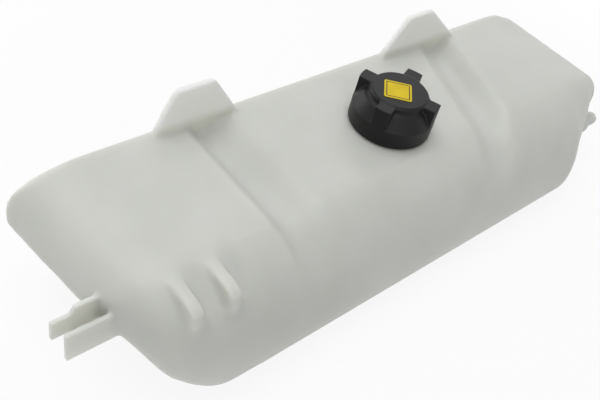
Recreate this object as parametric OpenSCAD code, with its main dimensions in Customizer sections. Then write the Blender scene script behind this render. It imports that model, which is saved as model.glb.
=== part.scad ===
// Coolant expansion tank: one blow-moulded translucent shell with a
// screw cap that carries a pressure valve and a vacuum valve.
// X runs along the tank, Y to the rear, Z up along the filler neck.
// The origin is on the flat underside, straight below the neck.

/* [Tank body] */
// Distance from the neck axis to the left end
left_reach = 272; // [258:1:300]
// Distance from the neck axis to the right end
right_reach = 268; // [262:1:300]
// Height from the flat underside to the raised panels
body_height = 100; // [92:1:120]
// Distance from the neck axis to the rear wall
rear_reach = 76; // [68:1:90]
// Distance from the neck axis to the front wall
front_reach = 85; // [78:1:105]
// Distance from the neck axis to where the front shoulder begins
shoulder_start = 30; // [28:1:38]
// Wall of the moulding
wall = 3; // [2:0.1:3.4]
// Length of the sloping face at the left end
left_slope_length = 45; // [38:1:52]
// Length of the sloping face at the right end
right_slope_length = 51; // [42:1:60]
// Drop of the sloping face at each end
end_slope_drop = 35; // [28:0.5:40]
// Share of that drop that is rounded over, at the left end
left_slope_round = 0.75; // [0.3:0.05:0.9]
// Share of that drop that is rounded over, at the right end
right_slope_round = 0.45; // [0:0.05:0.9]
// Height of the end's blunt edge at its widest line
end_edge = 4; // [3:0.5:6]
// Plan radius of the left rear corner
left_rear_r = 5; // [4:0.5:20]
// Plan radius of the right rear corner
right_rear_r = 22; // [12:1:30]
// Run of the rounded left front corner along the tank
corner_run = 74; // [50:1:78]
// Run of the rounded left front corner across the tank
corner_depth = 85; // [60:1:90]
// Radius where the front wall turns under
under_r = 22; // [18:1:34]
// Radius along the rear top edge
rear_top_r = 9; // [6:0.5:12]
// Radius along the rear bottom edge
rear_under_r = 14; // [8:0.5:20]
// Length over which the underside rises to each end
rise_length = 73; // [50:1:76]
// Curve of that rise: 1 is a straight slope, 2 an arch
rise_curve = 1.15; // [1.1:0.05:2]
// Sideways run of the left end for each millimetre towards the front
left_end_slant = 0.114; // [0:0.002:0.14]
// Start of the slanted right front corner, from the neck axis
slant_start = 183; // [170:1:195]
// Depth of the slanted right front corner
slant_depth = 42; // [30:1:50]

/* [Panels and valleys] */
// Depth of the two valleys between the raised panels
valley_depth = 11; // [6:0.5:14]
// Place of the left valley's steep side
left_valley_x = -146; // [-155:1:-135]
// Width of the left valley
left_valley_width = 46; // [40:1:56]
// Place of the right valley at the neck's line
right_valley_x = 70; // [66:1:80]
// Width of the right valley
right_valley_width = 52; // [44:1:60]
// Sideways run of the right valley for each millimetre of depth
right_valley_slant = 0.4; // [0:0.05:0.5]

/* [Tongues] */
// Height of the two mounting tongues above the panels
tongue_height = 34; // [28:0.5:40]
// Thickness of a tongue
tongue_thickness = 5; // [4:0.5:7]
// Distance from the neck axis to the front face of the tongues
tongue_y = 64; // [60:0.5:66]
// Place of the left tongue's top
left_tongue_x = -137; // [-142:1:-132]
// Width of the left tongue's top
left_tongue_top = 36; // [28:1:40]
// Run of the left tongue's foot to the left of its top's middle
left_tongue_foot_left = 33; // [28:1:38]
// Run of the left tongue's foot to the right of its top's middle
left_tongue_foot_right = 40; // [30:1:46]
// Place of the right tongue's top
right_tongue_x = 92; // [88:1:98]
// Width of the right tongue's top
right_tongue_top = 34; // [28:1:40]
// Run of the right tongue's foot to the left of its top's middle
right_tongue_foot_left = 39; // [30:1:44]
// Run of the right tongue's foot to the right of its top's middle
right_tongue_foot_right = 56; // [40:1:60]
// Radius of a tongue's upper corners
tongue_corner_r = 5; // [2:0.5:8]

/* [Ribs] */
// Width of each finger rib on the left shoulder
rib_width = 9; // [6:0.5:11]
// Reach of the finger ribs in front of the neck axis
rib_reach = 73; // [66:1:76]
// Place of the first finger rib
rib_x = -222; // [-224:1:-214]
// Distance between the two finger ribs
rib_pitch = 27; // [24:1:30]
// Radius of a finger rib's rounded end
rib_end_r = 12; // [8:0.5:14]
// Depth of the pocket beside each finger rib
pocket_depth = 3; // [1:0.25:4]

/* [Hose bracket] */
// Distance between the bracket's two ears
ear_spacing = 12; // [9:0.5:15]
// Thickness of an ear
ear_thickness = 3; // [2:0.25:4]
// Height of the front ear
ear_height = 25; // [22:0.5:30]
// Distance from the neck axis to the front ear's outer edge
ear_reach = 285; // [280:1:292]
// Distance from the neck axis to the front ear's front face
ear_y = 33; // [26:0.5:38]
// Length of the rear ear beyond the front one
rear_ear_extra = 4; // [0:0.5:6]
// Height of the rear ear above the front one
rear_ear_step = 6; // [3:0.5:8]

/* [Hose spigot] */
// Outer radius of the hose spigot
spigot_r = 6.5; // [6:0.25:8]
// Bore radius of the hose spigot
spigot_bore_r = 4.5; // [3.5:0.25:4.75]
// Length of the spigot beyond its collar
spigot_length = 19; // [14:0.5:24]
// Height of the spigot's axis above the underside
spigot_z = 39; // [36:0.5:40]
// Distance from the neck axis to the spigot's axis, to the front
spigot_y = 46; // [44:0.5:50]
// Radius of the collar at the spigot's root
collar_r = 9; // [8.5:0.25:10]
// Length of the collar beyond the slanted corner
collar_length = 5; // [4:0.5:7]

/* [Filler neck] */
// Bore radius of the filler neck
neck_bore_r = 20; // [18:0.25:21]
// Wall of the filler neck
neck_wall = 3.2; // [2.6:0.1:3.4]
// Height of the neck's rim above the middle panel
neck_height = 18; // [17:0.25:22]

/* [Screw cap] */
// Outer radius of the cap's skirt
cap_r = 32.4; // [31.5:0.1:34]
// Wall of the cap's outer skirt
cap_wall = 2.2; // [1.8:0.1:2.6]
// Height of the cap without its raised disc
cap_height = 25; // [24.5:0.25:28]
// Height of the straight part of the skirt
skirt_height = 14; // [10:0.5:15]
// Radius of the raised disc on top
disc_r = 23; // [21:0.25:23.25]
// Width of the flat ring round the disc
disc_margin = 1.8; // [1.6:0.1:3]
// Height of the raised disc
disc_height = 5.5; // [4.5:0.1:6.5]
// Width of each grip lug
lug_width = 12.5; // [9:0.25:15]
// Height of the grip lugs above the cap's foot
lug_height = 30; // [27:0.25:30.25]
// Turn of the first grip lug from the tank's long axis
lug_angle = 22; // [0:1:45]
// Side of the square sticker
sticker_side = 21; // [17:0.25:22.5]
// Distance of the sticker's middle from the cap's, to the left
sticker_offset = 2.5; // [0:0.1:3]
// Thickness of the sticker
sticker_thickness = 0.4; // [0.3:0.05:0.6]

/* [Valve unit] */
// Outer radius of the valve housing's barrel
housing_r = 18.6; // [17.2:0.1:19.6]
// Inner radius of the valve housing's barrel
housing_bore_r = 15; // [14.5:0.1:15.2]
// Length of the barrel below the neck's rim
housing_depth = 15; // [14:0.25:20]
// Thickness of the housing's floor and rim
housing_floor = 1.6; // [1.2:0.1:2]
// Section diameter of the O-ring
o_ring_d = 3; // [2.6:0.1:3.2]
// Radius of the opening in the housing's floor
port_r = 8; // [7.4:0.1:8.6]
// Outer radius of the pressure plate
plate_r = 12.5; // [12:0.1:13.5]
// Thickness of the pressure plate
plate_thickness = 1.2; // [1:0.1:1.8]
// Thickness of the pressure seal
seal_thickness = 1.6; // [1.2:0.1:2]
// Wire diameter of the pressure spring
pressure_wire_d = 1.4; // [1:0.1:1.6]
// Mean radius of the pressure spring
pressure_spring_r = 9; // [8.4:0.1:10]
// Radius of the vacuum valve's head
vacuum_head_r = 6.2; // [5.8:0.1:6.6]
// Radius of the vacuum valve's stem
stem_r = 1.5; // [1.2:0.05:1.7]
// Length of the stem above the pressure plate
stem_rise = 6; // [5:0.25:6.5]
// Wire diameter of the vacuum spring
vacuum_wire_d = 0.5; // [0.4:0.05:0.6]

/* [Fits] */
// Gap between pieces that seat on each other but move apart
seat_gap = 0.3; // [0.2:0.05:0.4]
// Radial clearance of sliding pieces
slide_clear = 0.05; // [0.03:0.01:0.08]
// Gap between the cap's foot and the panel
foot_gap = 1; // [0.6:0.1:1.6]

/* [Hidden] */

tank_milk = [0.82, 0.82, 0.79];
cap_black = [0.13, 0.13, 0.13];
sticker_yellow = [0.85, 0.72, 0.12];
housing_grey = [0.3, 0.3, 0.3];
rubber_black = [0.08, 0.08, 0.08];
steel = [0.7, 0.7, 0.72];
brass = [0.78, 0.62, 0.3];
smooth = 96;

// Easing from 0 to 1, flat at both ends
function ease(t) = let (c = min(1, max(0, t))) c * c * (3 - 2 * c);
// Drop of a quarter circle that runs from 0 to 1
function quarter(t) = let (c = min(1, max(0, t))) 1 - sqrt(1 - c * c);
function mix(a, b, t) = a + (b - a) * t;

function reach(x) = x < 0 ? left_reach : right_reach;
// How far X has gone along a run of the given length that ends at the tank's end
function run_in(x, length) = (abs(x) - reach(x) + length) / length;
waist_z = body_height - end_slope_drop;

// The plan outline of the widest line, as Y over X
slant_end_r = 16;
slant_end = right_reach - slant_end_r;
function rear_y(x) =
    let (r = x < 0 ? left_rear_r : right_rear_r)
    rear_reach - r * quarter(run_in(x, r));
function left_front_y(x) =
    corner_depth * quarter(run_in(x, corner_run)) - front_reach;
function right_front_y(x) =
    slant_depth * max(0, min(1, (x - slant_start) / (slant_end - slant_start)))
    + slant_end_r * quarter((x - slant_end) / slant_end_r)
    - front_reach;
function front_y(x) = x < 0 ? left_front_y(x) : right_front_y(x);

// The valleys between the three raised panels
function left_valley(x) =
    let (t = (x - left_valley_x) / left_valley_width)
    ease(t / 0.3) * (1 - ease((t - 0.35) / 0.65));
function right_valley(x, y) =
    let (t = (x - right_valley_x - right_valley_slant * y) / right_valley_width)
    ease(t / 0.5) * (1 - ease((t - 0.6) / 0.4));
function valley(x, y) = valley_depth * max(left_valley(x), right_valley(x, y));
// An inset makes a valley wider, so that the wall keeps its thickness there
function wide_valley(x, y, inset) =
    max(valley(x - inset, y), valley(x, y), valley(x + inset, y));

// The pockets pressed into the shoulder to the right of each finger rib
pocket_y = -52;
pocket_length = 21;
pocket_width = rib_pitch - rib_width / 2 - 3;
function bump(t) = let (c = min(1, abs(t))) pow(1 - c * c, 2);
function pocket(x, y) =
    pocket_depth * bump((y - pocket_y) / pocket_length)
    * max([for (k = [0.5, 1.5]) bump((x - rib_x - k * rib_pitch - 1) * 2 / pocket_width)]);

// A sloping face that rounds over into the end's widest line
function end_drop(x) =
    let (t = run_in(x, x < 0 ? left_slope_length : right_slope_length),
         rounded = x < 0 ? left_slope_round : right_slope_round)
    end_slope_drop * mix(min(1, max(0, t)), quarter((t - 0.4) / 0.6), rounded);
// The long profile: top and underside heights over X
function top_z(x, u, y, inset) =
    body_height - inset - wide_valley(x, y, inset) - end_drop(u);
function under_z(x) =
    (waist_z - end_edge) * pow(max(0, run_in(x, rise_length)), rise_curve);
// The left end's widest line runs slightly askew
function skew(x, y) =
    x < 0 ? left_end_slant * (rear_reach - y) * ease(run_in(x, left_slope_length)) : 0;

// One closed section of the tank, the same number of points at each X.
// An inset moves every wall inwards for the hollow.
function section(x, inset, arc_steps) =
    let (u = x * reach(x) / (reach(x) - inset),
         back = rear_y(u) - inset,
         front = front_y(u) + inset,
         low = under_z(u) + inset,
         full = body_height - inset - end_drop(u) - low,
         squash = min(1, full / (body_height * 0.6)),
         shoulder = max(-shoulder_start, front + 10 * squash),
         waist = low + full * 0.28,
         top_r = rear_top_r * squash,
         low_r = rear_under_r * squash,
         turn = under_r * squash)
    concat(
        [for (i = [0:4]) let (y = mix(back - top_r, shoulder, i / 5))
            [x + skew(u, y), y, top_z(x, u, y, inset)]],
        [for (i = [0:arc_steps])
            let (a = 90 * i / arc_steps, y = mix(shoulder, front, sin(a)))
            [x + skew(u, y), y,
             mix(waist, top_z(x, u, y, inset), cos(a)) - pocket(x, y)]],
        [for (i = [1:arc_steps - 2])
            let (a = 90 * i / (arc_steps - 2), y = front + turn * (1 - cos(a)))
            [x + skew(u, y), y, mix(waist, low, sin(a))]],
        [for (i = [0:3])
            let (a = 30 * i, y = back - low_r * (1 - sin(a)))
            [x + skew(u, y), y, low + low_r * (1 - cos(a))]],
        [for (i = [0:3])
            let (a = 22.5 * i, y = back - top_r * (1 - cos(a)))
            [x + skew(u, y), y, top_z(x, u, back, inset) - top_r * (1 - sin(a))]]);

function sorted(list) =
    len(list) < 2 ? list :
    let (pivot = list[0])
    concat(sorted([for (v = list) if (v < pivot) v]), [pivot],
           sorted([for (v = list) if (v > pivot) v]));

// Stations along X: close together at the ends, the pockets and the valleys
function stations(inset, end_steps) =
    let (pocket_start = rib_x + rib_width / 2,
         pocket_end = rib_x + 2 * rib_pitch,
         left_run = left_reach + pocket_start - 4,
         right_run = right_reach - slant_start - 12,
         valley_start = right_valley_x - right_valley_slant * 2 * shoulder_start,
         valley_end = right_valley_x + right_valley_width + right_valley_slant * rear_reach)
    sorted(concat(
        [for (i = [0:end_steps])
            inset - left_reach + left_run * (1 - cos(90 * i / end_steps))],
        [for (i = [0:11]) mix(pocket_start, pocket_end, i / 11)],
        [left_valley_x - 8],
        [for (i = [0:10]) left_valley_x + left_valley_width * i / 10],
        [for (i = [0:20]) mix(valley_start, valley_end + 1, i / 20)],
        [slant_start - 8, slant_start, slant_start + 6],
        [for (i = [0:end_steps])
            right_reach - inset - right_run * (1 - sin(90 * i / end_steps))]));

module loft(inset, end_steps, arc_steps) {
    rings = [for (x = stations(inset, end_steps)) section(x, inset, arc_steps)];
    n = len(rings[0]);
    last = len(rings) - 1;
    polyhedron(
        points = [for (ring = rings) each ring],
        faces = concat(
            [[for (i = [0:n - 1]) i]],
            [for (k = [0:last - 1], i = [0:n - 1])
                let (a = k * n + i, b = k * n + (i + 1) % n)
                each [[a, a + n, b], [b, a + n, b + n]]],
            [[for (i = [n - 1:-1:0]) last * n + i]]));
}

// A tongue seen from the front: a foot wider than its top, rounded top corners
module tongue(x, top, foot_left, foot_right) {
    foot = body_height - valley_depth - 6;
    step = body_height - 1;
    head = body_height + tongue_height - tongue_corner_r;
    side = top / 2 - tongue_corner_r;
    translate([x, tongue_y + tongue_thickness, 0]) rotate([90, 0, 0])
        linear_extrude(tongue_thickness)
            polygon(concat(
                [[-foot_left, foot], [-foot_left, step]],
                [for (a = [150:-15:90])
                    [tongue_corner_r * cos(a) - side, head + tongue_corner_r * sin(a)]],
                [for (a = [90:-15:30])
                    [tongue_corner_r * cos(a) + side, head + tongue_corner_r * sin(a)]],
                [[foot_right, step], [foot_right, foot]]));
}

// A finger that keeps the panel's height while the shoulder falls away
module finger_rib(x) {
    foot = body_height - 30;
    head = body_height - 2;
    translate([x - rib_width / 2, 0, 0]) rotate([90, 0, 90])
        linear_extrude(rib_width)
            polygon(concat(
                [[-shoulder_start, foot], [-shoulder_start, head + 1.4]],
                [for (a = [90:15:180])
                    [rib_end_r * (1 + cos(a)) - rib_reach, head - rib_end_r * (1 - sin(a))]],
                [[-rib_reach, foot]]));
}

// Side outline of an ear: a notch in its top edge where it leaves the tank
module ear(front_face, length, height, step) {
    root = 30 - left_reach;
    top = waist_z + 9;
    notch = -left_reach - 2;
    translate([0, ear_thickness - front_face, 0]) rotate([90, 0, 0])
        linear_extrude(ear_thickness)
            polygon([[root, top + step], [notch, top + step], [notch - 1, top],
                     [-length, top], [-length, top - height], [root, top - height]]);
}

// Two upright ears, joined at their foot, that hold a hose or a cable
module hose_bracket() {
    web_z = waist_z + 9 - ear_height * 0.62;
    ear(ear_y, ear_reach, ear_height, 0);
    ear(ear_y - ear_spacing, ear_reach + rear_ear_extra, ear_height * 0.65, rear_ear_step);
    translate([-left_reach - 2, ear_thickness / 2 - ear_y, web_z])
        cube([32, ear_spacing, ear_thickness]);
}

neck_r = neck_bore_r + neck_wall;
rim_z = body_height + neck_height;
// The spigot leaves the tank where its axis meets the slanted corner
slant_run = (slant_end - slant_start) / slant_depth;
spigot_x = slant_start + slant_run * (front_reach - spigot_y);
spigot_root = spigot_x - 34;
collar_face = spigot_x + collar_length;
spigot_mouth = collar_face + spigot_length;

// A round bar or bore along X at the spigot's axis
module spigot_round(from, to, r) {
    translate([from, -spigot_y, spigot_z]) rotate([0, 90, 0])
        cylinder(h = to - from, r = r, $fn = 64);
}

module tank() {
    color(tank_milk) difference() {
        union() {
            loft(0, 9, 10);
            tongue(left_tongue_x, left_tongue_top,
                   left_tongue_foot_left, left_tongue_foot_right);
            tongue(right_tongue_x, right_tongue_top,
                   right_tongue_foot_left, right_tongue_foot_right);
            for (i = [0, 1]) finger_rib(rib_x + i * rib_pitch);
            hose_bracket();
            translate([0, 0, body_height - wall])
                cylinder(h = neck_height + wall, r = neck_r, $fn = smooth);
            spigot_round(spigot_root, collar_face, collar_r);
            spigot_round(spigot_root, spigot_mouth, spigot_r);
        }
        loft(wall, 8, 8);
        translate([0, 0, body_height / 2])
            cylinder(h = body_height / 2 + neck_height + 1, r = neck_bore_r, $fn = smooth);
        spigot_round(spigot_root - 1, spigot_mouth + 1, spigot_bore_r);
    }
}

cap_z = body_height + foot_gap;
sleeve_r = neck_r + 2.4;
sleeve_wall = 2.2;
cap_top_r = disc_r + disc_margin;
flange_z = rim_z + seat_gap + 1.5;
ceiling_z = flange_z + housing_floor + seat_gap;
disc_z = cap_z + cap_height + disc_height;

// The cap's turned profile: outer skirt, sloping shoulder, disc and threaded sleeve
module cap_profile() {
    inner_r = cap_r - cap_wall;
    skirt_top = cap_z + skirt_height;
    top = cap_z + cap_height;
    difference() {
        polygon([[0, ceiling_z], [sleeve_r, ceiling_z], [sleeve_r, cap_z + 1],
                 [sleeve_r + sleeve_wall, cap_z + 1], [sleeve_r + sleeve_wall, skirt_top - 1],
                 [inner_r, skirt_top - 1], [inner_r, cap_z], [cap_r - 0.6, cap_z],
                 [cap_r, cap_z + 0.6], [cap_r, skirt_top], [cap_r - 1, skirt_top + 1.4],
                 [cap_top_r + 1.2, top - 0.8], [cap_top_r - 0.6, top], [disc_r + 0.8, top],
                 [disc_r, top + 0.8], [disc_r, disc_z - 1.6], [disc_r - 1.6, disc_z],
                 [0, disc_z]]);
        translate([-1, 0]) square([1, disc_z + 1]);
    }
}

// A bead under the housing's flange holds the valve unit in the cap
module cap_bead() {
    head = flange_z - seat_gap;
    rotate_extrude($fn = smooth)
        polygon([[sleeve_r + 0.2, head], [sleeve_r - 1.3, head],
                 [sleeve_r - 1.3, head - 0.5], [sleeve_r + 0.2, head - 1.1]]);
}

module cap_shell() {
    color(cap_black) union() {
        rotate_extrude($fn = smooth) cap_profile();
        cap_bead();
        for (i = [0:3]) rotate([0, 0, lug_angle + 90 * i]) grip_lug();
    }
}

// A grip lug: an upright fin on the sloping shoulder, cut to the skirt's round
module grip_lug() {
    foot = cap_z + skirt_height - 0.5;
    head = cap_z + lug_height;
    root = sleeve_r + 1;
    intersection() {
        translate([0, lug_width / 2, 0]) rotate([90, 0, 0]) linear_extrude(lug_width)
            polygon([[root, foot], [cap_r + 1, foot], [cap_r + 1, head], [disc_r - 2, head],
                     [disc_r - 2, ceiling_z + 1], [root, ceiling_z + 1]]);
        translate([0, 0, cap_z])
            cylinder(h = lug_height, r1 = cap_r, r2 = cap_r - 0.4, $fn = smooth);
    }
}

module cap_sticker() {
    color(sticker_yellow)
        translate([-sticker_offset, 0, disc_z]) rotate([0, 0, 45])
            linear_extrude(sticker_thickness)
                offset(r = 1, $fn = 24) square(sticker_side - 2, center = true);
}

barrel_foot = rim_z - housing_depth;
cover_z = rim_z - 1;
cover_ledge_r = housing_bore_r + 1.2;
groove_z = rim_z - 6;
groove_floor_r = neck_bore_r - slide_clear - o_ring_d;
flange_r = sleeve_r - 0.6;

module valve_housing() {
    shoulder_r = neck_r - 0.4;
    seat_z = rim_z + seat_gap;
    flange_top = flange_z + housing_floor;
    color(housing_grey) difference() {
        rotate_extrude($fn = smooth)
            polygon([[port_r, barrel_foot], [housing_r - 1, barrel_foot],
                     [housing_r, barrel_foot + 1], [housing_r, seat_z], [shoulder_r, seat_z],
                     [shoulder_r, flange_z], [flange_r, flange_z], [flange_r, flange_top],
                     [cover_ledge_r, flange_top], [cover_ledge_r, cover_z],
                     [housing_bore_r, cover_z], [housing_bore_r, barrel_foot + housing_floor],
                     [port_r, barrel_foot + housing_floor]]);
        rotate_extrude($fn = smooth)
            translate([groove_floor_r, groove_z - o_ring_d / 2 - 0.1])
                square([housing_r, o_ring_d + 0.2]);
    }
}

module housing_o_ring() {
    color(rubber_black) translate([0, 0, groove_z]) rotate_extrude($fn = smooth)
        translate([neck_bore_r - slide_clear - o_ring_d / 2, 0]) circle(d = o_ring_d, $fn = 32);
}

// The cover that closes the housing and holds the pressure spring down
module spring_cover() {
    r = cover_ledge_r - slide_clear;
    color(housing_grey) difference() {
        translate([0, 0, cover_z]) cylinder(h = housing_floor, r = r, $fn = smooth);
        for (i = [0:5]) rotate([0, 0, 60 * i]) translate([12.6, 0, cover_z - 1])
            cylinder(h = housing_floor + 2, r = 1.4, $fn = 24);
        translate([0, 0, cover_z - 1]) cylinder(h = housing_floor + 2, r = 3.4, $fn = 48);
    }
}

seal_z = barrel_foot + housing_floor + seat_gap;
plate_z = seal_z + seal_thickness;
plate_top = plate_z + plate_thickness;

module pressure_seal() {
    color(rubber_black) translate([0, 0, seal_z]) rotate_extrude($fn = smooth)
        translate([port_r + 0.8, 0]) square([plate_r - 0.5 - port_r - 0.8, seal_thickness]);
}

// The pressure plate: a turned-up rim, a guide bore and vents for the vacuum valve
module pressure_plate() {
    rim = 1.4;
    guide_r = stem_r + slide_clear;
    color(brass) difference() {
        rotate_extrude($fn = smooth)
            polygon([[guide_r, plate_z], [plate_r, plate_z], [plate_r, plate_top + rim],
                     [plate_r - 0.9, plate_top + rim], [plate_r - 0.9, plate_top],
                     [guide_r, plate_top]]);
        for (i = [0:3]) rotate([0, 0, 45 + 90 * i]) translate([stem_r + 1.5, 0, plate_z - 1])
            cylinder(h = plate_thickness + 2, r = 0.7, $fn = 20);
    }
}

// A round wire wound on a helix whose first and last turns lie closed
module coil(r, wire, foot, head, turns, turn_steps, sides) {
    steps = turns * turn_steps;
    low = foot + wire / 2;
    rise = head - foot - wire;
    closed = 1 / turns;
    points = [for (k = [0:steps])
        let (t = k / steps, a = 360 * turns * t,
             lift = rise * mix(ease((t - closed / 2) / (1 - closed)), t, 0.5))
        each [for (i = [0:sides - 1])
            let (b = 360 * i / sides, q = r + wire / 2 * cos(b))
            [q * cos(a), q * sin(a), low + lift + wire / 2 * sin(b)]]];
    polyhedron(points = points, faces = concat(
        [[for (i = [sides - 1:-1:0]) i]],
        [for (k = [0:steps - 1], i = [0:sides - 1])
            let (a = k * sides + i, b = k * sides + (i + 1) % sides)
            each [[a, b, a + sides], [b, b + sides, a + sides]]],
        [[for (i = [0:sides - 1]) steps * sides + i]]));
}

module pressure_spring() {
    color(steel) coil(pressure_spring_r, pressure_wire_d, plate_top, cover_z, 4, 18, 8);
}

head_top = plate_z - seal_thickness * 0.6 - seat_gap;
head_foot = head_top - 1.2;
clip_thickness = 0.8;
stem_top = plate_top + stem_rise;
clip_z = stem_top - 1.6;
clip_groove_r = stem_r - 0.4;

// The vacuum valve: a round head under the plate and a stem up through it
module vacuum_valve() {
    color(brass) rotate_extrude($fn = 48)
        polygon([[0, head_foot], [vacuum_head_r - 0.4, head_foot],
                 [vacuum_head_r, head_foot + 0.4], [vacuum_head_r, head_top], [stem_r, head_top],
                 [stem_r, clip_z], [clip_groove_r, clip_z],
                 [clip_groove_r, clip_z + clip_thickness], [stem_r, clip_z + clip_thickness],
                 [stem_r, stem_top - 0.3], [stem_r - 0.3, stem_top], [0, stem_top]]);
}

module vacuum_seal() {
    color(rubber_black) translate([0, 0, head_top]) rotate_extrude($fn = 48)
        translate([stem_r + 2.6, 0])
            square([vacuum_head_r - stem_r - 2.8, seal_thickness * 0.6]);
}

module vacuum_spring() {
    color(steel) coil(stem_r + 0.9, vacuum_wire_d, plate_top, clip_z, 4, 12, 6);
}

// A split clip in the stem's groove, which holds the vacuum spring
module vacuum_clip() {
    color(steel) translate([0, 0, clip_z]) difference() {
        cylinder(h = clip_thickness, r = stem_r + 1.7, $fn = 48);
        translate([0, 0, -1])
            cylinder(h = clip_thickness + 2, r = clip_groove_r + slide_clear, $fn = 32);
        translate([0, -clip_groove_r * 0.8, -1])
            cube([stem_r + 3, clip_groove_r * 1.6, clip_thickness + 2]);
    }
}

tank();
cap_shell();
cap_sticker();
valve_housing();
housing_o_ring();
spring_cover();
pressure_spring();
pressure_plate();
pressure_seal();
vacuum_valve();
vacuum_seal();
vacuum_spring();
vacuum_clip();
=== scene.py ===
import math

import bmesh
import bpy
from mathutils import Matrix, Vector
from mathutils.bvhtree import BVHTree


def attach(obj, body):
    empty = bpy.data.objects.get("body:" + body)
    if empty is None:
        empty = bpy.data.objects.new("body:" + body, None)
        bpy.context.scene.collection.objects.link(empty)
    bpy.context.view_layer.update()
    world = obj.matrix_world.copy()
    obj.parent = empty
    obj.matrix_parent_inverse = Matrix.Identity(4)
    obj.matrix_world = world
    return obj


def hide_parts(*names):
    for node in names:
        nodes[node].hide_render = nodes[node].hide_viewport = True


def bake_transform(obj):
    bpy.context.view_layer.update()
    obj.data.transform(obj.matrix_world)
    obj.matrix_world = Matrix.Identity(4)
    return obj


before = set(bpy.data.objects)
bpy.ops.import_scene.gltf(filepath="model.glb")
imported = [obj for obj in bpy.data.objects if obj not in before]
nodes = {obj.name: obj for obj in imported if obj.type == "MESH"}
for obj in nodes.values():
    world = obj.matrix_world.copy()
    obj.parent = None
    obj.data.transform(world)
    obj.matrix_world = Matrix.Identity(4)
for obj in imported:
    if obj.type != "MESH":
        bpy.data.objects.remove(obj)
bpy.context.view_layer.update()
scene = bpy.context.scene

# Camera: stands at the tank's front left, looks down on it and is turned a
# little clockwise, as in the photograph.
camera_place = Vector((-0.3993, -0.2603, 0.4561))
camera_right = Vector((0.7552, -0.6242, 0.2001))
camera_up = Vector((0.3460, 0.6388, 0.6872))
camera_back = camera_right.cross(camera_up)
camera_data = bpy.data.cameras.new("camera")
camera_data.sensor_width = 36
camera_data.lens = 45.97
camera_data.clip_start = 0.01
camera = bpy.data.objects.new("camera", camera_data)
scene.collection.objects.link(camera)
camera_turn = Matrix((camera_right, camera_up, camera_back)).transposed().to_4x4()
camera.matrix_world = Matrix.Translation(camera_place) @ camera_turn
scene.camera = camera

# Floor: a plain pale studio floor. It takes the tank's shadow near the tank
# and goes over into a white ground further out.
floor_reach = 6
shadow_end = 0.30
white_start = 0.6
near_white = 0.87


def make_piece(name, shape):
    """A finished shape as a piece of that name."""
    data = bpy.data.meshes.new(name)
    shape.to_mesh(data)
    shape.free()
    piece = bpy.data.objects.new(name, data)
    scene.collection.objects.link(piece)
    return piece


def give_looks(tree, node, inputs):
    """Gives a step of a finish its values, or the steps that feed it."""
    for socket, value in inputs.items():
        if isinstance(value, bpy.types.NodeSocket):
            tree.links.new(value, node.inputs[socket])
        else:
            node.inputs[socket].default_value = value


def add_step(tree, kind, settings=None, inputs=None):
    """One more step of a finish, such as a noise, a mix or a relief."""
    node = tree.nodes.new("ShaderNode" + kind)
    for setting, value in (settings or {}).items():
        setattr(node, setting, value)
    give_looks(tree, node, inputs or {})
    return node


def start_finish(name, inputs):
    """A finish of that name, with its plain looks set."""
    material = bpy.data.materials.new(name)
    material.use_nodes = True
    shader = material.node_tree.nodes["Principled BSDF"]
    give_looks(material.node_tree, shader, inputs)
    return material, material.node_tree, shader


def seen_plainly(tree):
    """1 for the camera's rays, also in sheen and through the plastic, else 0."""
    ray = add_step(tree, "LightPath")
    seen = 0
    for kind in ("Is Camera Ray", "Is Glossy Ray", "Is Transmission Ray"):
        seen = add_step(tree, "Math", {"operation": "MAXIMUM"},
                        {0: ray.outputs[kind], 1: seen}).outputs[0]
    return seen


ground = bmesh.new()
bmesh.ops.create_grid(ground, x_segments=1, y_segments=1, size=floor_reach)
floor = make_piece("floor", ground)

pale_floor, tree, shader = start_finish("pale_floor", {
    "Base Color": (0.93, 0.93, 0.93, 1), "Roughness": 0.9, "Specular IOR Level": 0.0})
place = add_step(tree, "TexCoord").outputs["Object"]
distance = add_step(tree, "VectorMath", {"operation": "LENGTH"}, {0: place})
whiteness = add_step(tree, "MapRange", {"interpolation_type": "SMOOTHSTEP"}, {
    "From Min": shadow_end, "From Max": white_start, "To Min": near_white,
    "Value": distance.outputs["Value"]})
share = add_step(tree, "Math", {"operation": "MULTIPLY"},
                 {0: seen_plainly(tree), 1: whiteness.outputs["Result"]})
white = add_step(tree, "Emission", inputs={"Color": (1, 1, 1, 1)})
blend = add_step(tree, "MixShader", inputs={
    "Fac": share.outputs[0], 1: shader.outputs["BSDF"], 2: white.outputs["Emission"]})
give_looks(tree, tree.nodes["Material Output"], {"Surface": blend.outputs["Shader"]})
floor.data.materials.append(pale_floor)

# Studio light: an even pale surround and four wide soft lamps. The widest is
# overhead, so that the top is lightest and the front falls off gently, and a
# low one at the rear left gives the cap's shoulder its sheen.
surround_light = 0.41
lamp_aim = Vector((0, 0, 0.05))
world = bpy.data.worlds.new("studio")
scene.world = world
world.use_nodes = True
tree = world.node_tree
strength = add_step(tree, "MapRange", inputs={
    "To Min": surround_light, "To Max": 1.0, "Value": seen_plainly(tree)})
give_looks(tree, tree.nodes["Background"],
           {"Color": (1, 1, 1, 1), "Strength": strength.outputs["Result"]})


def studio_lamp(name, place, width, power):
    data = bpy.data.lights.new(name, "AREA")
    data.shape = "DISK"
    data.size = width
    data.energy = power
    lamp = bpy.data.objects.new(name, data)
    scene.collection.objects.link(lamp)
    lamp.location = place
    lamp.rotation_euler = (lamp_aim - Vector(place)).to_track_quat("-Z", "Y").to_euler()


studio_lamp("overhead_lamp", (-0.3, 0.3, 1.9), 1.6, 14.8)
studio_lamp("rear_left_lamp", (-0.6, 1.45, 0.42), 0.9, 5)
studio_lamp("front_left_lamp", (-0.9, -1.3, 1.3), 1.0, 4.4)
studio_lamp("rear_lamp", (1.1, 1.0, 1.3), 1.2, 2.8)
scene.view_settings.view_transform = "Standard"

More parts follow.
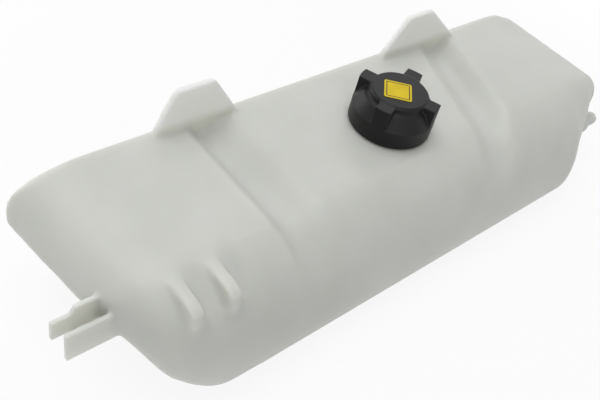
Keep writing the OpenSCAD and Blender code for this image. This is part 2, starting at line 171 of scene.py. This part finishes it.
# Tank shell: one blow-moulded piece of milky translucent plastic, with its
# neck, tongues, ribs, bracket and spigot. The moulding softens every edge.
MM = 0.001
same_place = 0.001 * MM
shell_voxel = 1.5 * MM
shell_faces = 190000
panel_height = 100 * MM
body_top = 98 * MM
body_left = -266 * MM
body_right = 244 * MM
rib_left = -232 * MM
rib_right = -170 * MM
rib_back = -26 * MM
nose_back = -58 * MM
nose_head = 92 * MM
nose_foot = 84 * MM
ear_root = -258 * MM
ear_middle = -26 * MM
ear_reach = 14 * MM
ear_top = 82 * MM
look_lift = 0.3
sharp_angle = math.radians(28)
sharp_margin = 4
skin_passes = 3
panel_passes = 14
rib_passes = 9
nose_head_passes = 25
nose_foot_passes = 45
tip_passes = 12


def joined_shape(node):
    """A CAD node's shape with its split corners joined."""
    joined = bmesh.new()
    joined.from_mesh(nodes[node].data)
    bmesh.ops.remove_doubles(joined, verts=joined.verts, dist=same_place)
    return joined


def moulded_copy(node, name, voxel):
    """A CAD node's shape as one even skin, ready to be softened."""
    piece = make_piece(name, joined_shape(node))
    even = piece.modifiers.new("skin", "REMESH")
    even.mode = "VOXEL"
    even.voxel_size = voxel
    bpy.context.view_layer.update()
    skinned = bpy.data.meshes.new_from_object(
        piece.evaluated_get(bpy.context.evaluated_depsgraph_get()))
    piece.modifiers.clear()
    piece.data = skinned
    skinned.name = name
    return piece


def soften(skin, verts, passes, regain=0.0):
    """Evens out a skin. A negative regain after each pass keeps its size."""
    for step in range(passes):
        for factor in (0.5, regain):
            if factor:
                bmesh.ops.smooth_vert(skin, verts=verts, factor=factor,
                                      use_axis_x=True, use_axis_y=True, use_axis_z=True)


def finish_skin(skin, piece, material):
    for face in skin.faces:
        face.smooth = True
    skin.to_mesh(piece.data)
    skin.free()
    piece.data.materials.clear()
    piece.data.materials.append(material)


shell = moulded_copy("tank", "tank_shell", shell_voxel)
skin = bmesh.new()
skin.from_mesh(shell.data)
# The hollow isn't seen: faces that look at walls on every side go, and the
# bores that led to it are closed.
walls = BVHTree.FromBMesh(skin)
sides = [Vector(side) for side in
         ((0, 0, 1), (0, -1, 0), (1, 0, 0), (-1, 0, 0), (0, 1, 0), (0, 0, -1))]
hidden = []
for face in skin.faces:
    start = face.calc_center_median() + face.normal * shell_voxel * look_lift
    if all(walls.ray_cast(start, side)[0] is not None for side in sides):
        hidden.append(face)
bmesh.ops.delete(skin, geom=hidden, context="FACES")
loose = [v for v in skin.verts if not v.link_faces]
bmesh.ops.delete(skin, geom=loose, context="VERTS")
bmesh.ops.holes_fill(skin, edges=[e for e in skin.edges if e.is_boundary], sides=0)
# The whole skin is evened out first. Then the panels get more, except at the
# edges that stay sharp on the moulding, and so do the ribs and the end tips.
soften(skin, skin.verts, skin_passes, regain=-0.5)
sharp = {v for edge in skin.edges if edge.calc_face_angle(0) > sharp_angle for v in edge.verts}
for ring in range(sharp_margin):
    sharp |= {edge.other_vert(v) for v in sharp for edge in v.link_edges}
panels = [v for v in skin.verts
          if v.co.z < body_top and body_left < v.co.x < body_right and v not in sharp
          and not (rib_left < v.co.x < rib_right and v.co.y < rib_back)]
soften(skin, panels, panel_passes)
ribs = [v for v in skin.verts if rib_left < v.co.x < rib_right and v.co.y < rib_back]
soften(skin, ribs, rib_passes)
for nose_top, passes in ((nose_head, nose_head_passes), (nose_foot, nose_foot_passes)):
    noses = [v for v in skin.verts
             if rib_left < v.co.x < rib_right and v.co.y < nose_back and v.co.z < nose_top]
    soften(skin, noses, passes)
tips = [v for v in skin.verts
        if (v.co.x < body_left or v.co.x > body_right) and v.co.z > ear_top]
soften(skin, tips, tip_passes, regain=-0.5)
corners = [[pick(v.co[axis] for v in nodes["tank"].data.vertices) for axis in range(3)]
           for pick in (min, max)]
for v in skin.verts:
    v.co = Vector(min(max(v.co[axis], corners[0][axis]), corners[1][axis]) for axis in range(3))

# The two mould halves meet on the widest line. Its height follows the rise of
# the underside and the slope of the top towards each end.
left_end = -272 * MM
left_slope_run = 45 * MM
left_slope_round = 0.75
right_end = 268 * MM
right_slope_run = 51 * MM
right_slope_round = 0.45
slope_height = 35 * MM
round_start = 0.4
rise_run = 73 * MM
rise_height = 61 * MM
rise_curve = 1.15
line_share = 0.28
ear_fade = 10 * MM
ear_spread = 8
backlight_fade_run = 8 * MM


def parting_height(x):
    end, run, share = ((left_end, left_slope_run, left_slope_round) if x < 0
                       else (right_end, right_slope_run, right_slope_round))
    to_end = abs(end) - abs(x)
    rise = min(1, max(0, 1 - to_end / rise_run))
    slope = min(1, max(0, 1 - to_end / run))
    rounded = 1 - math.sqrt(1 - max(0, (slope - round_start) / (1 - round_start)) ** 2)
    low = rise_height * rise ** rise_curve
    top = panel_height - slope_height * (slope + share * (rounded - slope))
    return low + line_share * (top - low)


# The bracket's ears are plain plates: the line shrinks to nothing on them.
def beside_line(co):
    on_ear = min(1, max(0, (ear_root - co.x) / ear_fade))
    if abs(co.y - ear_middle) > ear_reach or co.z > ear_top:
        on_ear = 0
    return (co.z - parting_height(co.x)) * (1 + ear_spread * on_ear)


# Painted backlight: the tongues, and all else above the panels, get a lighter colour for the
# light that would come through the thin plates.
def painted_backlight_share(co):
    return min(1, max(0, (co.z - panel_height) / backlight_fade_run))


def mottle(tree, place, noise, low, high):
    """A noise over the piece, and the colour that it picks between two tones."""
    cloud = add_step(tree, "TexNoise", inputs={**noise, "Vector": place}).outputs["Fac"]
    tone = add_step(tree, "ValToRGB", inputs={"Fac": cloud})
    for stop, (position, colour) in zip(tone.color_ramp.elements, (low, high)):
        stop.position = position
        stop.color = (*colour, 1)
    return cloud, tone.outputs["Color"]


milky, tree, shader = start_finish("milky_plastic", {
    "Roughness": 0.44, "Subsurface Weight": 0.85,
    "Subsurface Radius": (1.0, 0.96, 0.85), "Subsurface Scale": 0.012})
place = add_step(tree, "TexCoord").outputs["Object"]
tone = mottle(tree, place, {"Scale": 22, "Detail": 4},
              (0.3, (0.598, 0.608, 0.568)), (0.7, (0.640, 0.648, 0.610)))[1]
# Painted backlight: a lighter tone above the panels, standing in for light shining through the
# thin tongues.
painted_backlight = add_step(tree, "Attribute", {"attribute_name": "painted_backlight"})
with_painted_backlight = add_step(tree, "Mix", {"data_type": "RGBA"}, {
    "Factor": painted_backlight.outputs["Fac"], "A": tone, "B": (0.78, 0.79, 0.77, 1)})
off_seam = add_step(tree, "Attribute", {"attribute_name": "off_seam"})
near_seam = add_step(tree, "Math", {"operation": "ABSOLUTE"}, {0: off_seam.outputs["Fac"]})
seam = add_step(tree, "MapRange", {"interpolation_type": "SMOOTHSTEP"}, {
    "From Min": 0.2 * MM, "From Max": 0.9 * MM, "To Min": 1, "To Max": 0,
    "Value": near_seam.outputs[0]})
# Parting line: the ridge itself is real and drawn by the bump relief below; the lighter tone
# along it is a painted highlight.
painted_seam_highlight = add_step(tree, "Mix", {"data_type": "RGBA"}, {
    "Factor": seam.outputs["Result"], "A": with_painted_backlight.outputs["Result"],
    "B": (0.655, 0.665, 0.628, 1)})
grain = add_step(tree, "TexNoise", inputs={"Scale": 900, "Detail": 2, "Vector": place})
relief = add_step(tree, "Bump", inputs={
    "Strength": 0.12, "Distance": 0.3 * MM, "Height": grain.outputs["Fac"]})
ridge_relief = add_step(tree, "Bump", inputs={
    "Strength": 0.35, "Distance": 0.4 * MM, "Height": seam.outputs["Result"],
    "Normal": relief.outputs["Normal"]})
give_looks(tree, shader, {"Base Color": painted_seam_highlight.outputs["Result"],
                          "Normal": ridge_relief.outputs["Normal"]})

finish_skin(skin, shell, milky)
for attribute, measure in (("off_seam", beside_line), ("painted_backlight", painted_backlight_share)):
    values = shell.data.attributes.new(attribute, "FLOAT", "POINT")
    values.data.foreach_set("value", [measure(v.co) for v in shell.data.vertices])
thinned = shell.modifiers.new("thinned", "DECIMATE")
thinned.ratio = min(1.0, shell_faces / (2 * len(shell.data.polygons)))
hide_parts("tank")
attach(shell, "tank")

# Neck thread: a helical ridge moulded on the outside of the filler neck. The
# cap's own ridge runs half a turn's rise behind it, so the two mesh.
neck_r = 23.2 * MM
thread_foot = 104 * MM
thread_height = 1.8 * MM
thread_root = 0.3 * MM
thread_rise = 4 * MM
thread_turns = 2.5
ridge_foot = 0.9 * MM
ridge_crest = 0.35 * MM
ridge_ease = 0.2 * MM
steps_a_turn = 72


def ease_edges(piece, width):
    eased = piece.modifiers.new("eased", "BEVEL")
    eased.width = width
    eased.segments = 2
    eased.limit_method = "ANGLE"


def thread_ridge(name, root_r, crest_r, start_angle):
    ridge = bmesh.new()
    profile = [(root_r, -ridge_foot), (crest_r, -ridge_crest),
               (crest_r, ridge_crest), (root_r, ridge_foot)]
    points = [ridge.verts.new((r * math.cos(start_angle), r * math.sin(start_angle),
                               thread_foot + z)) for r, z in profile]
    face = ridge.faces.new(points)
    bmesh.ops.spin(ridge, geom=[face], cent=(0, 0, 0), axis=(0, 0, 1),
                   dvec=(0, 0, thread_rise / steps_a_turn),
                   angle=2 * math.pi * thread_turns,
                   steps=int(thread_turns * steps_a_turn), use_duplicate=False)
    bmesh.ops.recalc_face_normals(ridge, faces=ridge.faces)
    piece = make_piece(name, ridge)
    ease_edges(piece, ridge_ease)
    return piece


neck_thread = thread_ridge("neck_thread", neck_r - thread_root, neck_r + thread_height, 0)
neck_thread.data.materials.append(milky)
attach(neck_thread, "tank")

# Screw cap: a black moulded cap with four grip lugs and a raised disc. It
# holds the valve unit and screws onto the neck.
cap_voxel = 0.55 * MM
cap_passes = 4
cap = moulded_copy("cap_shell", "screw_cap", cap_voxel)
skin = bmesh.new()
skin.from_mesh(cap.data)
soften(skin, skin.verts, cap_passes, regain=-0.45)

cap_black, tree, shader = start_finish("cap_black_plastic", {"Specular IOR Level": 0.24})
place = add_step(tree, "TexCoord").outputs["Object"]
cloud, tone = mottle(tree, place, {"Scale": 60, "Detail": 5},
                     (0.3, (0.004, 0.004, 0.0045)), (0.75, (0.008, 0.0077, 0.008)))
gloss = add_step(tree, "MapRange", inputs={"To Min": 0.36, "To Max": 0.52, "Value": cloud})
grain = add_step(tree, "TexVoronoi", inputs={"Scale": 1400, "Vector": place})
relief = add_step(tree, "Bump", inputs={
    "Strength": 0.25, "Distance": 0.1 * MM, "Height": grain.outputs["Distance"]})
give_looks(tree, shader, {"Base Color": tone, "Roughness": gloss.outputs["Result"],
                          "Normal": relief.outputs["Normal"]})

finish_skin(skin, cap, cap_black)
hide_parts("cap_shell")
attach(cap, "cap")

sleeve_r = 25.6 * MM
cap_thread = thread_ridge("cap_thread", sleeve_r + thread_root, sleeve_r - thread_height, math.pi)
cap_thread.data.materials.append(cap_black)
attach(cap_thread, "cap")

# Cap sticker: a square of printed yellow film on the disc, with a plain dark
# frame. Its corners are rounded and its edge stands a little proud.
film_side = 21 * MM
film_corner = 1.6 * MM
film_ease = 0.12 * MM
film_foot = 131.5 * MM
film_top = 131.9 * MM
film_middle = (-2.5 * MM, 0, 0)
film_turn = math.radians(45)
frame_reach = 8.6 * MM
film = bmesh.new()
bmesh.ops.create_grid(film, x_segments=1, y_segments=1, size=film_side / 2)
bmesh.ops.translate(film, verts=film.verts, vec=(0, 0, film_foot))
bmesh.ops.bevel(film, geom=film.verts[:], offset=film_corner, offset_type="OFFSET",
                segments=6, profile=0.5, affect="VERTICES", material=-1)
bmesh.ops.rotate(film, verts=film.verts, cent=(0, 0, 0),
                 matrix=Matrix.Rotation(film_turn, 3, "Z"))
lifted = bmesh.ops.extrude_face_region(film, geom=film.faces[:])
raised = [v for v in lifted["geom"] if isinstance(v, bmesh.types.BMVert)]
bmesh.ops.translate(film, verts=raised, vec=(0, 0, film_top - film_foot))
bmesh.ops.translate(film, verts=film.verts, vec=film_middle)
bmesh.ops.recalc_face_normals(film, faces=film.faces)
sticker = make_piece("sticker_film", film)
ease_edges(sticker, film_ease)

yellow, tree, shader = start_finish("yellow_film", {
    "Roughness": 0.42, "Specular IOR Level": 0.15})
place = add_step(tree, "TexCoord").outputs["Object"]
turned = add_step(tree, "Mapping", {"vector_type": "TEXTURE"}, {
    "Location": film_middle, "Rotation": (0, 0, film_turn), "Vector": place})
axes = add_step(tree, "SeparateXYZ", inputs={0: turned.outputs["Vector"]})
across = [add_step(tree, "Math", {"operation": "ABSOLUTE"}, {0: axes.outputs[axis]})
          for axis in ("X", "Y")]
far_out = add_step(tree, "Math", {"operation": "MAXIMUM"},
                   {0: across[0].outputs[0], 1: across[1].outputs[0]})
off_frame = add_step(tree, "Math", {"operation": "SUBTRACT"},
                     {0: far_out.outputs[0], 1: frame_reach})
near_frame = add_step(tree, "Math", {"operation": "ABSOLUTE"}, {0: off_frame.outputs[0]})
frame_line = add_step(tree, "MapRange", {"interpolation_type": "SMOOTHSTEP"}, {
    "From Min": 0.30 * MM, "From Max": 0.45 * MM, "Value": near_frame.outputs[0]})
ink = mottle(tree, place, {"Scale": 120, "Detail": 5},
             (0.3, (0.64, 0.47, 0.010)), (0.7, (0.73, 0.545, 0.016)))[1]
print_mix = add_step(tree, "Mix", {"data_type": "RGBA"}, {
    "Factor": frame_line.outputs["Result"], "A": (0.05, 0.04, 0.02, 1), "B": ink})
give_looks(tree, shader, {"Base Color": print_mix.outputs["Result"]})
sticker.data.materials.append(yellow)
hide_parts("cap_sticker")
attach(sticker, "cap")

# Valve housing: a barrel of dark grey glass-filled plastic, moulded in one
# piece. Its flange snaps over the bead in the cap, and the barrel goes into
# the neck.
housing_grey, tree, shader = start_finish("housing_grey_plastic", {"Roughness": 0.5})
place = add_step(tree, "TexCoord").outputs["Object"]
fibre, tone = mottle(tree, place, {"Scale": 260, "Detail": 6, "Distortion": 1.2},
                     (0.35, (0.055, 0.055, 0.058)), (0.7, (0.095, 0.095, 0.098)))
relief = add_step(tree, "Bump", inputs={
    "Strength": 0.2, "Distance": 0.1 * MM, "Height": fibre})
give_looks(tree, shader, {"Base Color": tone, "Normal": relief.outputs["Normal"]})


def finish_node(node, material):
    for slot in nodes[node].material_slots:
        slot.link = "OBJECT"
        slot.material = material


finish_node("valve_housing", housing_grey)

# Housing O-ring: black nitrile rubber with a dull, slightly dusty bloom. It
# sits in the barrel's groove and seals in the neck's bore.
rubber, tree, shader = start_finish("seal_rubber", {"Specular IOR Level": 0.3})
place = add_step(tree, "TexCoord").outputs["Object"]
bloom, tone = mottle(tree, place, {"Scale": 180, "Detail": 5},
                     (0.35, (0.013, 0.013, 0.014)), (0.75, (0.030, 0.030, 0.030)))
dull = add_step(tree, "MapRange", inputs={"To Min": 0.6, "To Max": 0.85, "Value": bloom})
give_looks(tree, shader, {"Base Color": tone, "Roughness": dull.outputs["Result"]})
finish_node("housing_o_ring", rubber)

# Spring cover: a vented disc of the housing's plastic, welded into its
# mouth. The pressure spring pushes up against it.
finish_node("spring_cover", housing_grey)

# Pressure spring: bright drawn spring steel wire, coiled with closed ends. It
# stands on the plate under the cover and shortens as the plate lifts.
steel, tree, shader = start_finish("spring_steel", {"Metallic": 1.0})
place = add_step(tree, "TexCoord").outputs["Object"]
drawn, tone = mottle(tree, place, {"Scale": 420, "Detail": 4},
                     (0.3, (0.42, 0.42, 0.43)), (0.7, (0.60, 0.60, 0.61)))
polish = add_step(tree, "MapRange", inputs={"To Min": 0.25, "To Max": 0.42, "Value": drawn})
give_looks(tree, shader, {"Base Color": tone, "Roughness": polish.outputs["Result"]})


def coil_spring(node, name):
    """The CAD coil as one smooth wire."""
    wire = joined_shape(node)
    for face in wire.faces:
        face.smooth = True
    coil = make_piece(name, wire)
    coil.data.materials.append(steel)
    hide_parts(node)
    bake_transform(coil)


coil_spring("pressure_spring", "pressure_coil")

# Pressure plate: turned brass with fine rings from the lathe, guided by the
# vacuum valve's stem and pressed down by the spring.
brass, tree, shader = start_finish("valve_brass", {"Metallic": 1.0, "Roughness": 0.32})
place = add_step(tree, "TexCoord").outputs["Object"]
lathe = add_step(tree, "TexWave", {"wave_type": "RINGS", "rings_direction": "Z"},
                 {"Scale": 900, "Distortion": 0.4, "Vector": place}).outputs["Fac"]
tone = add_step(tree, "ValToRGB", inputs={"Fac": lathe})
tone.color_ramp.elements[0].color = (0.58, 0.40, 0.15, 1)
tone.color_ramp.elements[1].color = (0.68, 0.50, 0.22, 1)
relief = add_step(tree, "Bump", inputs={
    "Strength": 0.15, "Distance": 0.05 * MM, "Height": lathe})
give_looks(tree, shader, {"Base Color": tone.outputs["Color"],
                          "Normal": relief.outputs["Normal"]})
finish_node("pressure_plate", brass)

# Pressure seal: a flat rubber ring bonded under the pressure plate. It closes
# on the seat in the housing.
finish_node("pressure_seal", rubber)

# Vacuum valve: a turned brass mushroom whose stem slides in the plate's bore.
# It drops to let air in as the tank cools.
finish_node("vacuum_valve", brass)

# Vacuum seal: a thin rubber ring bonded on the mushroom's head. It closes the
# vents in the plate from below.
finish_node("vacuum_seal", rubber)

# Vacuum spring: a light steel coil round the stem. It stands on the plate and
# pushes the clip up, so that the mushroom stays closed.
coil_spring("vacuum_spring", "vacuum_coil")

# Vacuum clip: a split steel clip pressed into the stem's groove. It holds
# the vacuum spring.
finish_node("vacuum_clip", steel)
